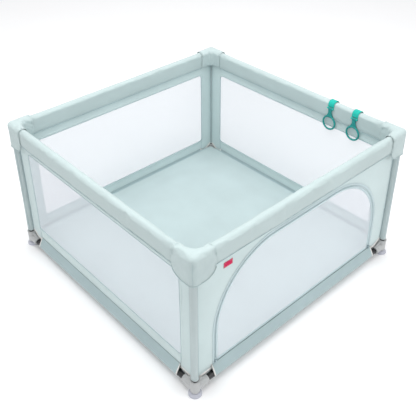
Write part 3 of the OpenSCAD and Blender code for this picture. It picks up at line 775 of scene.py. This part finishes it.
def wall_border(side):
    """The cloth round a net wall: one grid without its middle, and a fillet in each corner."""
    edge, r = POST - SLEEVE_R - 0.3 * MM, 16 * MM
    half_xs = [lerp(NET_HALF, edge, i / 10) for i in range(11)]
    inner = [lerp(0, NET_HALF - r, i / 22) for i in range(23)] + [NET_HALF]
    xs = sorted({round(v, 7) for h in (-1, 1) for v in [h * q for q in half_xs + inner]})
    rises = [lerp(0, 1, i / 5) for i in range(6)]
    mid = [NET_LOW] + [lerp(NET_LOW + r, NET_TOP - r, i / 12) for i in range(13)] + [NET_TOP]
    top = [lerp(NET_TOP, WALL_TOP + 4 * MM, i / 4) for i in range(1, 5)]
    heights = [("low", t) for t in rises[:-1]] + [("at", z) for z in mid + top]
    at, verts, faces = {}, [], []
    for i, x in enumerate(xs):
        for j, (kind, t) in enumerate(heights):
            z = lerp(low_edge(side, x), NET_LOW, t) if kind == "low" else t
            ripple = 0.5 * MM * wobble(x, 0, z, 0.05, TURN[side] + 3)
            at[i, j] = len(verts)
            verts.append((x, WALL_Y + lean(side, x, z) + ripple, z))
    inside = lambda i, j: (abs(xs[i] + xs[i + 1]) / 2 < NET_HALF and 5 <= j < 5 + len(mid) - 1)
    for i in range(len(xs) - 1):
        for j in range(len(heights) - 1):
            if not inside(i, j):
                faces.append((at[i, j], at[i + 1, j], at[i + 1, j + 1], at[i, j + 1]))
    for hx in (-1, 1):
        for base, far in ((5, 6), (5 + len(mid) - 1, 5 + len(mid) - 2)):
            hz = 1 if base == 5 else -1
            corner_z = NET_LOW if base == 5 else NET_TOP
            i0 = min(range(len(xs)), key=lambda i: abs(xs[i] - hx * NET_HALF))
            i1 = min(range(len(xs)), key=lambda i: abs(xs[i] - hx * (NET_HALF - r)))
            arc = [at[i1, base]]
            for k in range(1, 6):
                t = math.radians(90 * k / 6)
                x = hx * (NET_HALF - r + r * math.sin(t))
                z = corner_z + hz * (r - r * math.cos(t))
                verts.append((x, WALL_Y + lean(side, x, z), z))
                arc.append(len(verts) - 1)
            arc.append(at[i0, far])
            faces += [(at[i0, base], a, b) for a, b in zip(arc, arc[1:])]
    ob = piece(f"wall_border_{side}", verts, faces, WALL, side_frame(side))
    face_out(ob)
    thicken(ob, WALL_T)
    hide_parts(f"wall_fabric_{side}")


def net_path():
    """The net's outline, clockwise seen from outside, so that its normals point away from it."""
    r, path = 16 * MM, []
    for cx, cz, first in ((NET_HALF - r, NET_TOP - r, 0), (r - NET_HALF, NET_TOP - r, 90),
                          (r - NET_HALF, NET_LOW + r, 180), (NET_HALF - r, NET_LOW + r, 270)):
        path += [polar(r, first + 15 * i, cx, cz) for i in range(7)]
    return spaced(path[::-1], 26 * MM, closed=True)


def band_seams(side):
    """The seams that carry on from a net's lower corners down to the ends of the rail sleeve."""
    for hand, label in ENDS:
        for face, word in FACES:
            path = [(hand * lerp(NET_HALF + 1 * MM, FLAT + 2 * MM, i / 10),
                     lerp(NET_LOW + 14 * MM, SEAM_Z - 6 * MM, i / 10)) for i in range(11)]
            trim(f"band_seam_{word}_{label}_{side}", path, ring_profile(0, WALL_Y + face * 1.0 * MM, 1.1 * MM),
                 PIPING_AND_SHADE_CORDS, side, bulge=lambda x, z: lean(side, x, z))


def net_wall(side):
    band_seams(side)
    grow = 3 * MM
    columns, rows = 44, 20
    verts = []
    for j in range(rows + 1):
        z = lerp(NET_LOW - grow, NET_TOP + grow, j / rows)
        for i in range(columns + 1):
            x = lerp(-NET_HALF - grow, NET_HALF + grow, i / columns)
            verts.append((x, WALL_Y + lean(side, x, z), z))
    ob = piece(f"net_{side}", verts, grid_faces(rows + 1, columns + 1), NET, side_frame(side))
    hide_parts(f"wall_net_{side}")
    bend = lambda x, z: lean(side, x, z)
    for hand, label in FACES:
        trim(f"net_piping_{label}_{side}", net_path(), ring_profile(1.2 * MM, WALL_Y + hand * 1.0 * MM, 1.3 * MM),
             PIPING_AND_SHADE_CORDS, side, closed=True, bulge=bend)
        trim(f"net_hem_{label}_{side}", net_path(), flat_profile(2.4 * MM, 12 * MM, WALL_Y + hand * 0.5 * MM,
             WALL_Y + hand * 1.35 * MM), WALL, side, closed=True, bulge=bend)


def sleeve_loop(rise=0.0):
    """The section of a bottom rail's sleeve, as (y, z) from its outer ply round to its inner ply."""
    r = TUBE_R + 1.2 * MM + rise
    top = SEAM_Z
    left, right = (WALL_Y - 0.9 * MM, top), (WALL_Y + 0.9 * MM, top)

    def touch(p, sign):
        y, z = p[0], p[1] - RAIL_Z
        return math.degrees(math.atan2(z, y)) + sign * math.degrees(math.acos(r / math.hypot(y, z)))

    a0, a1 = touch(left, 1), touch(right, -1) + 360
    first, last = polar(r, a0, 0.0, RAIL_Z), polar(r, a1, 0.0, RAIL_Z)
    loop = [left, tuple(lerp(p, q, 0.5) for p, q in zip(left, first))]
    loop += [polar(r, lerp(a0, a1, i / 18), 0.0, RAIL_Z) for i in range(19)]
    return loop + [tuple(lerp(p, q, 0.5) for p, q in zip(last, right)), right]


def rail_sleeve(side):
    loop = sleeve_loop()
    columns = 120
    verts = []
    seed = TURN[side] / 90 + 50
    for i in range(columns + 1):
        x = lerp(-FLAT, FLAT, i / columns)
        for k, (y, z) in enumerate(loop):
            free = math.sin(math.pi * k / (len(loop) - 1))
            push = free * (0.7 * MM * wobble(x, y, z, 0.045, seed) + 0.5 * MM * wobble(x * 0.4, y, z, 0.012, seed))
            away = Vector((y, z - RAIL_Z)).normalized()
            verts.append((x, y + away[0] * push, z + away[1] * push))
    n = len(loop)
    ob = piece(f"rail_sleeve_{side}", verts, grid_faces(columns + 1, n), LOW_SLEEVE_PAINTED_SHADE, side_frame(side))
    thicken(ob, 0.9 * MM)
    round_off(ob)
    ends = FLAT - 3 * MM
    for hand, label in FACES:
        for drop in (3.5, 7.5):
            y = WALL_Y + hand * (1.5 * MM + (drop - 3.5) * 0.07 * MM + 0.25 * MM)
            line = on_side(side, [(-ends, y, SEAM_Z - drop * MM), (ends, y, SEAM_Z - drop * MM)])
            way = side_frame(side).to_3x3() @ Vector((0, hand, 0))
            stitches(f"seam_stitches_{label}_{drop:.0f}_{side}", line, way, THREAD)


def sleeve_hems(side):
    """The bound ends of a rail sleeve and the binding along the cut-outs at both corners."""
    loop = sleeve_loop(0.6 * MM)
    n = len(loop)
    for hand, label in ENDS:
        verts = []
        for x, grow in ((FLAT - 4 * MM, 0.0), (FLAT - 3.2 * MM, 0.45 * MM), (FLAT + 1.4 * MM, 0.45 * MM),
                        (FLAT + 2.2 * MM, 0.0), (FLAT + 2.2 * MM, -0.8 * MM), (FLAT - 4 * MM, -0.8 * MM)):
            for y, z in loop:
                way = Vector((y, z - RAIL_Z)).normalized()
                verts.append((hand * x, y + way[0] * grow, z + way[1] * grow))
        faces = grid_faces(6, n, wrap_rows=True)
        faces += [tuple(i * n for i in range(6)), tuple(i * n + n - 1 for i in range(6))]
        face_out(piece(f"sleeve_hem_{label}_{side}", verts, faces, BINDING, side_frame(side)))
        start, end = POST - SLEEVE_END - 1 * MM, POST - SLEEVE_R - 1.5 * MM
        xs = [hand * lerp(start, end, i / 24) for i in range(25)]
        path = [(x, low_edge(side, hand * max(abs(x), start + 1.2 * MM)) + 1.5 * MM) for x in xs]
        low, high = sorted((-hand * 8.5 * MM, hand * 2.5 * MM))
        ob = trim(f"corner_binding_{label}_{side}", path,
                  flat_profile(low, high, WALL_Y - 1.5 * MM, WALL_Y + 1.5 * MM, 0.9), BINDING, side)
        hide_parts("corner_bindings")


def wall_edge_shade_cords(side):
    """A dark cord along both upright edges of a wall, where it meets the post sleeves: painted shade for the shadowed
    gap between sleeve and wall.
    """
    edge = POST - SLEEVE_R - 1.4 * MM
    for hand, label in ENDS:
        for face, word in FACES:
            path = [(hand * edge, lerp(SLEEVE_LOW + 4 * MM, WALL_TOP, i / 40)) for i in range(41)]
            trim(f"edge_cord_{word}_{label}_{side}", path, ring_profile(0, WALL_Y + face * 1.1 * MM, 1.2 * MM),
                 PIPING_AND_SHADE_CORDS, side)


for side_name in SIDES:
    rail_sleeve(side_name)
    sleeve_hems(side_name)
    wall_edge_shade_cords(side_name)
    if side_name != "front":
        wall_border(side_name)
        net_wall(side_name)


# ---- Door wall, door and zip ----


def door_path(grow, low, step=3):
    """The door's outline from its left foot over the top to its right foot."""
    half, top, r = DOOR_HALF + grow, DOOR_TOP + grow, DOOR_R + grow
    path = [(-half, low)]
    path += [polar(r, 180 - t, r - half, top - r) for t in range(0, 91, step)]
    path += [polar(r, 90 - t, half - r, top - r) for t in range(0, 91, step)]
    return path + [(half, low)]


def front_wall():
    """The cloth round the door: a strip from the door's outline to the edge of the wall."""
    edge, top = POST - SLEEVE_R - 0.3 * MM, WALL_TOP + 4 * MM
    half, door_top = DOOR_HALF + ZIP_GAP / 2, DOOR_TOP + ZIP_GAP / 2
    r = DOOR_R + ZIP_GAP / 2
    spring = door_top - r
    pairs = [((half, None, t / 6), (edge, None, t / 6)) for t in range(6)]
    for t in range(0, 91, 3):
        near = polar(r, t, half - r, spring)
        if t <= 45:
            far = (edge, lerp(spring, top, t / 45))
        else:
            far = (lerp(edge, half - r, (t - 45) / 45), top)
        pairs.append((near, far))
    flat_top = [((x, door_top), (x, top)) for x in [lerp(half - r, 0, i / 8) for i in range(1, 9)]]
    pairs += flat_top
    across = 9
    rows = []
    for near, far in pairs:
        line = []
        for k in range(across + 1):
            t = k / across
            x = lerp(near[0], far[0], t)
            if len(near) == 3:
                z = lerp(low_edge("front", x), spring, near[2])
            else:
                z = lerp(near[1], far[1], t)
            line.append((x, z))
        rows.append(line)
    rows += [[(-x, z) for x, z in line] for line in rows[-2::-1]]
    for line, (_, _, t) in zip(rows[::-1], [near for near, _ in pairs[:6]]):
        line[:] = [(x, lerp(low_edge("front", x), spring, t)) for x, _ in line]

    def ripple(x, z):
        """None at the zip, and growing away from it."""
        away = abs(abs(x) - half) + max(0, z - door_top)
        return 0.45 * MM * wobble(x, 0, z, 0.06, 3) * smooth(0, 30 * MM, away)

    verts = [(x, WALL_Y + ripple(x, z), z) for line in rows for x, z in line]
    ob = piece("wall_border_front", verts, grid_faces(len(rows), across + 1), WALL,
               side_frame("front"))
    thicken(ob, WALL_T)
    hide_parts("wall_fabric_front")


def door_panel():
    """The door's net, its band and the zip's two tapes, each along the same outline."""
    inset = ZIP_GAP / 2 + BIND_W - 3 * MM
    half, top, r = DOOR_HALF - inset, DOOR_TOP - inset, DOOR_R - inset
    low = DOOR_LOW + BIND_W - 3 * MM
    columns, rows = 72, 24
    verts = []
    for i in range(columns + 1):
        x = half * math.sin(math.radians(lerp(-90, 90, i / columns)))
        over = max(0.0, abs(x) - (half - r))
        crown = top - r + math.sqrt(max(0.0, r * r - over * over))
        for j in range(rows + 1):
            z = lerp(low, crown, j / rows)
            dip = 2.0 * MM * (1 - (x / half) ** 2) * math.sin(math.pi * j / rows) * wobble(x, 0, z, 0.4, 8)
            verts.append((x, WALL_Y + dip, z))
    net = piece("door_netting", verts, grid_faces(columns + 1, rows + 1), DOOR_NET, side_frame("front"),
                "door")
    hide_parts("door_net")

    slit = ZIP_GAP / 2
    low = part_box("door_binding")[0][2]
    foot = SLIDER_TOP
    band = door_path(-slit - BIND_W / 2, foot)
    band = spaced(band, 20 * MM)
    profile = flat_profile(-BIND_W / 2, BIND_W / 2, WALL_Y - 0.9 * MM, WALL_Y + 1.0 * MM, 0.8)
    ob = trim("door_band", band, profile, BAND, "front", "door")
    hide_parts("door_binding")
    inner = DOOR_HALF - slit - BIND_W
    sill = [(inner + 5 * MM, low + BIND_W / 2), (-inner - 5 * MM, low + BIND_W / 2)]
    sill = spaced(sill, 20 * MM)
    trim("door_sill", sill, profile, BAND, "front", "door")
    for label, y in (("outer", WALL_Y - 1.1 * MM), ("inner", WALL_Y + 1.2 * MM)):
        way = (0, -1 if label == "outer" else 1, 0)
        line = [(x, y, z) for x, z in door_path(-slit - BIND_W + 1.6 * MM, foot)]
        if label == "inner":
            stitches(f"door_stitches_{label}", on_side("front", line), way, THREAD, "door")
        line = [(x, y, low + 2.2 * MM) for x in (-inner, inner)]
        stitches(f"sill_stitches_{label}", on_side("front", line), way, THREAD, "door")

    tape_y = (WALL_Y - 1.75 * MM, WALL_Y - 1.05 * MM)
    path = spaced(door_path(-slit - 5 * MM, foot), 20 * MM)
    ob = trim("zip_tape_inner", path, flat_profile(-4.8 * MM, 4.8 * MM, *tape_y, 0.8), TAPE,
              "front", "door")
    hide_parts("zip_tape_door")
    path = spaced(door_path(slit + TAPE_W / 2, SEAM_Z), 20 * MM)
    ob = trim("zip_tape_outer", path, flat_profile(-TAPE_W / 2, TAPE_W / 2, *tape_y, 0.8), TAPE, "front")
    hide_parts("zip_tape_wall")
    for shift in (4.2 * MM, 11.6 * MM):
        line = [(x, tape_y[0] - 0.05 * MM, z) for x, z in door_path(slit + shift, SEAM_Z + 2 * MM)]
        stitches(f"tape_stitches_{shift * 10000:.0f}", on_side("front", line), (0, -1, 0), THREAD)
    teeth("zip_teeth_wall", 1, "frame", SEAM_Z + 17 * MM)
    teeth("zip_teeth_door", -1, "door", foot)


def teeth(name, hand, body, low):
    """One row of a coil zip: a bent loop of cord at every step along the slit."""
    verts, faces = [], []
    pitch = 2.0 * MM
    y = WALL_Y - 2.4 * MM
    line = even(door_path(0, low), pitch)
    shape = [(3.15, -0.45), (3.15, 0.45), (1.15, 0.42), (0.85, 0.2), (0.85, -0.2), (1.15, -0.42)]
    for (x, z), (dx, dz) in line:
        x, z = (x + dx * pitch / 2, z + dz * pitch / 2) if hand > 0 else (x, z)
        nx, nz = -dz * hand, dx * hand
        start = len(verts)
        for lift, k in ((-0.62, 0.62), (-0.25, 1.0), (0.25, 1.0), (0.62, 0.62)):
            for a, b in shape:
                a, b = a * MM, b * MM * k
                verts.append((x + nx * a + dx * b, y + lift * MM, z + nz * a + dz * b))
        faces += tube_faces(4, len(shape), start)
    return face_out(piece(name, verts, faces, COIL, side_frame("front"), body))


SLIDER_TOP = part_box("zip_slider_left")[1][2] + 3 * MM
front_wall()
door_panel()


# ---- Floor ----


def floor_sheet():
    """The floor cloth, a little slack, cut away round the corner joints."""
    half, n = FLOOR_HALF - 0.5 * MM, 72
    verts, at, faces = [], {}, []
    cut = half - 34 * MM
    lines = sorted({round(h * v, 7) for h in (-1, 1) for v in [lerp(0, cut, i / 34) for i in range(35)]
                    + [lerp(cut, half, i / 4) for i in range(5)]})
    for i, x in enumerate(lines):
        for j, y in enumerate(lines):
            u, v = x / half, y / half
            sag = 4.5 * MM * (1 - u ** 4) * (1 - v ** 4)
            ripple = 1.1 * MM * wobble(x, y, 0, 0.28, 71) * (1 - u ** 8) * (1 - v ** 8)
            at[i, j] = len(verts)
            dx, dy = POST - abs(x), POST - abs(y)
            away = math.hypot(dx, dy)
            if away < NOTCH:
                x = math.copysign(POST - dx * NOTCH / away, x)
                y = math.copysign(POST - dy * NOTCH / away, y)
            verts.append((x, y, FLOOR_TOP - 1.2 * MM - sag + ripple))
    for i in range(len(lines) - 1):
        for j in range(len(lines) - 1):
            x, y = (lines[i] + lines[i + 1]) / 2, (lines[j] + lines[j + 1]) / 2
            if math.hypot(POST - abs(x), POST - abs(y)) > NOTCH - 2 * MM:
                faces.append((at[i, j], at[i + 1, j], at[i + 1, j + 1], at[i, j + 1]))
    used = sorted({v for f in faces for v in f})
    new = {v: i for i, v in enumerate(used)}
    ob = piece("floor_sheet", [verts[v] for v in used], [tuple(new[v] for v in f) for f in faces], FLOOR)
    thicken(ob, 2.0 * MM, -1.0)
    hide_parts("floor_mat")
    for side in SIDES:
        end = half - 40 * MM
        section = ((0.2, -0.4), (0.2, 1.0), (2.0, 1.7), (4.6, 1.3), (6.6, 0.5), (6.6, -0.4))
        verts = [(lerp(-end, end, i / 50), POST - half + (a - 0.2) * MM, FLOOR_TOP - 1.0 * MM + z * MM)
                 for i in range(51) for a, z in section]
        face_out(piece(f"floor_edge_{side}", verts, tube_faces(51, len(section)), PIPING_AND_SHADE_CORDS, side_frame(side)))


floor_sheet()


# ---- Hand-pull straps ----


def strap_path(off):
    """The strap's line over the padded rail, as (y, z), from its outer end to above its pin."""
    half = COVER_HALF + off
    top, r = COVER_TOP + off, COVER_HALF - 1 * MM + off
    line = [(-half, COVER_LOW + 10 * MM), (-half, lerp(COVER_LOW + 10 * MM, top - r, 0.5)), (-half, top - r)]
    line += [polar(r, 180 - t, r - half, top - r) for t in range(10, 91, 10)]
    line += [polar(r, 90 - t, half - r, top - r) for t in range(0, 91, 10)]
    return line + [(half, lerp(top - r, PULL_Z + 5 * MM, 0.5)), (half, PULL_Z + 5 * MM)]


def strap(index):
    thick, wide = 1.4 * MM, 33 * MM
    x0 = PULL_X[index]
    line = strap_path(1.05 * MM)
    n = len(line)
    verts = []
    cross = [(-0.5, 0.0), (-0.47, 1.0), (-0.25, 1.15), (0, 1.2), (0.25, 1.15), (0.47, 1.0), (0.5, 0.0),
             (0.47, -1.0), (0.25, -1.0), (0, -1.0), (-0.25, -1.0), (-0.47, -1.0)]
    for i, (y, z) in enumerate(line):
        a, b = line[max(i - 1, 0)], line[min(i + 1, n - 1)]
        way = Vector((b[0] - a[0], b[1] - a[1])).normalized()
        out = Vector((-way[1], way[0]))
        for u, v in cross:
            k = v * thick / 2
            verts.append((x0 + u * wide, y + out[0] * k, z + out[1] * k))
    label = ("near", "far")[index]
    ob = face_out(piece(f"strap_{label}", verts, tube_faces(n, len(cross)), STRAP, side_frame("right")))
    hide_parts("pull_straps")
    for hand in (-1, 1):
        inner, outer = 10.4 * MM, 16.6 * MM
        verts, r_in, r_out = [], 2.62 * MM, 4.05 * MM
        ring = range(0, 360, 20)
        for x in (inner, inner + 0.5 * MM, outer - 0.5 * MM, outer):
            r = r_out - (0.35 * MM if x in (inner, outer) else 0)
            verts += [(x0 + hand * x, *polar(r, t, PULL_Y, PULL_Z)) for t in ring]
        for x in (outer, inner):
            verts += [(x0 + hand * x, *polar(r_in, t, PULL_Y, PULL_Z)) for t in ring]
        faces = grid_faces(6, len(ring), wrap_rows=True, wrap_columns=True)
        knuckle = face_out(piece(f"strap_loop_{label}_{'ab'[hand > 0]}", verts, faces, STRAP,
                                 side_frame("right")))
    for hand in (-1, 1):
        x = x0 + hand * (wide / 2 - SEAM_IN)
        edge = [(x, y, z) for y, z in strap_path(2.0 * MM)[1:-1]]
        centre = side_frame("right") @ Vector((x, 0, COVER_TOP - 30 * MM))
        stitches(f"strap_stitches_{label}_{'ab'[hand > 0]}", on_side("right", edge), away_from(centre), STRAP,
                 pitch=3.4 * MM, long=2.3 * MM)


strap(0)
strap(1)


# ---- Tag ----


def tag():
    """A plain woven tag, sewn on along its edge."""
    (x0, _, z0), (x1, y1, z1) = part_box("sewn_tag")
    across, up = 16, 10
    verts = []
    for j in range(up + 1):
        for i in range(across + 1):
            u, v = i / across, j / up
            puff_out = 0.5 * MM * math.sin(math.pi * u) * math.sin(math.pi * v)
            verts.append((lerp(x0, x1, u), y1 - 0.5 * MM - puff_out, lerp(z0, z1, v)))
    ob = piece("plain_tag", verts, grid_faces(up + 1, across + 1), TAG)
    thicken(ob, 0.7 * MM)
    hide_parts("sewn_tag")
    left, right, low, high = x0 + SEAM_IN, x1 - SEAM_IN, z0 + SEAM_IN, z1 - SEAM_IN
    ring = [(left, low), (right, low), (right, high), (left, high), (left, low)]
    stitches("tag_stitches", [(x, y1 - 1.0 * MM, z) for x, z in ring], (0, -1, 0), TAG_THREAD,
             pitch=3.4 * MM, long=2.2 * MM)


tag()


# ---- Floor of the room and lights ----


def stage():
    mesh = bpy.data.meshes.new("ground")
    size = 14
    mesh.from_pydata([(-size, -size, 0), (size, -size, 0), (size, size, 0), (-size, size, 0)], [], [(0, 1, 2, 3)])
    m = Nodes("ground paper", (0.93, 0.93, 0.935), 0.9, Emission_Color=(1, 1, 1, 1), Emission_Strength=0.1)
    tone = m.mix(m.range(m.noise(3, 2.0), 0.3, 0.7), (0.925, 0.925, 0.93), (0.935, 0.935, 0.94))
    mesh.materials.append(m.link(tone, "Base Color"))
    ground = bpy.data.objects.new("ground", mesh)
    ground.location.z = -0.0005
    scene.collection.objects.link(ground)


def lamp(name, at, aim, size, power):
    data = bpy.data.lights.new(name, "AREA")
    data.shape = "DISK"
    data.size = size
    data.energy = power
    ob = bpy.data.objects.new(name, data)
    ob.location = at
    ob.rotation_euler = (Vector(aim) - Vector(at)).to_track_quat("-Z", "Y").to_euler()
    scene.collection.objects.link(ob)


def studio():
    world = bpy.data.worlds.new("studio")
    world.use_nodes = True
    world.node_tree.nodes["Background"].inputs[0].default_value = (0.985, 0.99, 1.0, 1)
    world.node_tree.nodes["Background"].inputs[1].default_value = 0.68
    scene.world = world
    lamp("top light", (0.0, 0.3, 4.2), (0, 0, 0), 3.4, 100)
    lamp("left light", (-3.4, -0.6, 2.8), (0, 0, 0.3), 2.4, 12)
    lamp("inner light", (-0.35, -0.35, 2.1), (0.45, 0.45, 0.25), 1.2, 6)
    lamp("right light", (1.2, -3.4, 2.6), (0, 0, 0.3), 2.4, 30)


stage()
studio()
